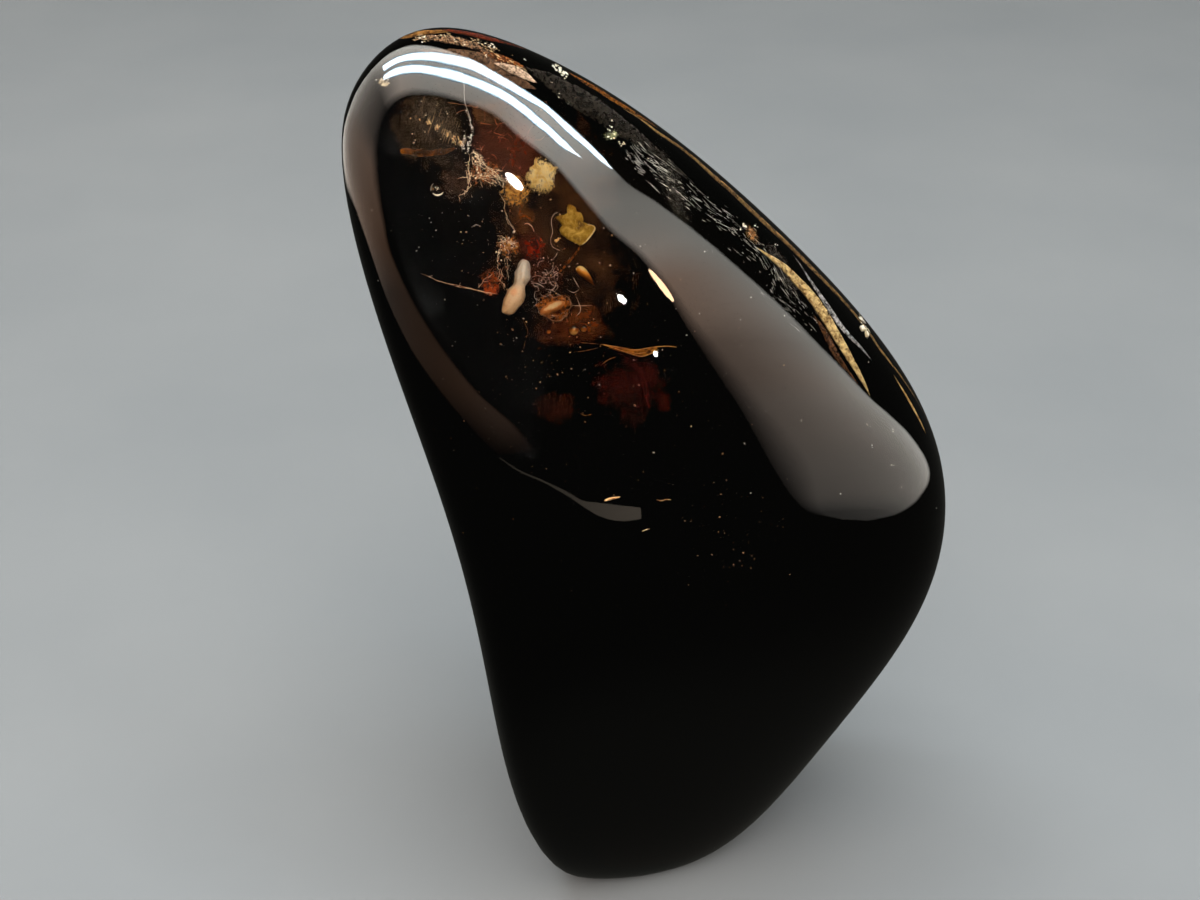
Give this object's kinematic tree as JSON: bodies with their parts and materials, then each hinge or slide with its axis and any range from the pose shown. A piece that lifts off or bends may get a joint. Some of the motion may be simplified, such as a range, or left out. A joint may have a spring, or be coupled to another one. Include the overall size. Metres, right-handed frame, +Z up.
{
  "type": "tumbled amber",
  "caption": "Tall tumbled lump of dark polished amber, leaning, on a small worn foot, with pellets, flakes, a sliver and a droplet sealed under its front face.",
  "frame": {"origin": "middle of the flat worn foot, on the surface that the stone stands on", "axes": "+Z up; -Y is the front, where the broad polished face leans back and the sealed pieces show; +X towards the broad side, away from the top's lean"},
  "size_m": [0.038, 0.0287, 0.0615],
  "materials": {
    "amber": "polished",
    "pale_pellet": "matte",
    "small_pellet": "matte",
    "upper_flake": "matte",
    "lower_flake": "matte",
    "bark_sliver": "matte",
    "droplet": "polished"
  },
  "bodies": {
    "root": {"amber_front": "amber", "amber_back": "amber", "pale_pellet": "pale_pellet", "small_pellet": "small_pellet", "upper_flake": "upper_flake", "lower_flake": "lower_flake", "bark_sliver": "bark_sliver", "droplet": "droplet"}
  },
  "joints": []
}
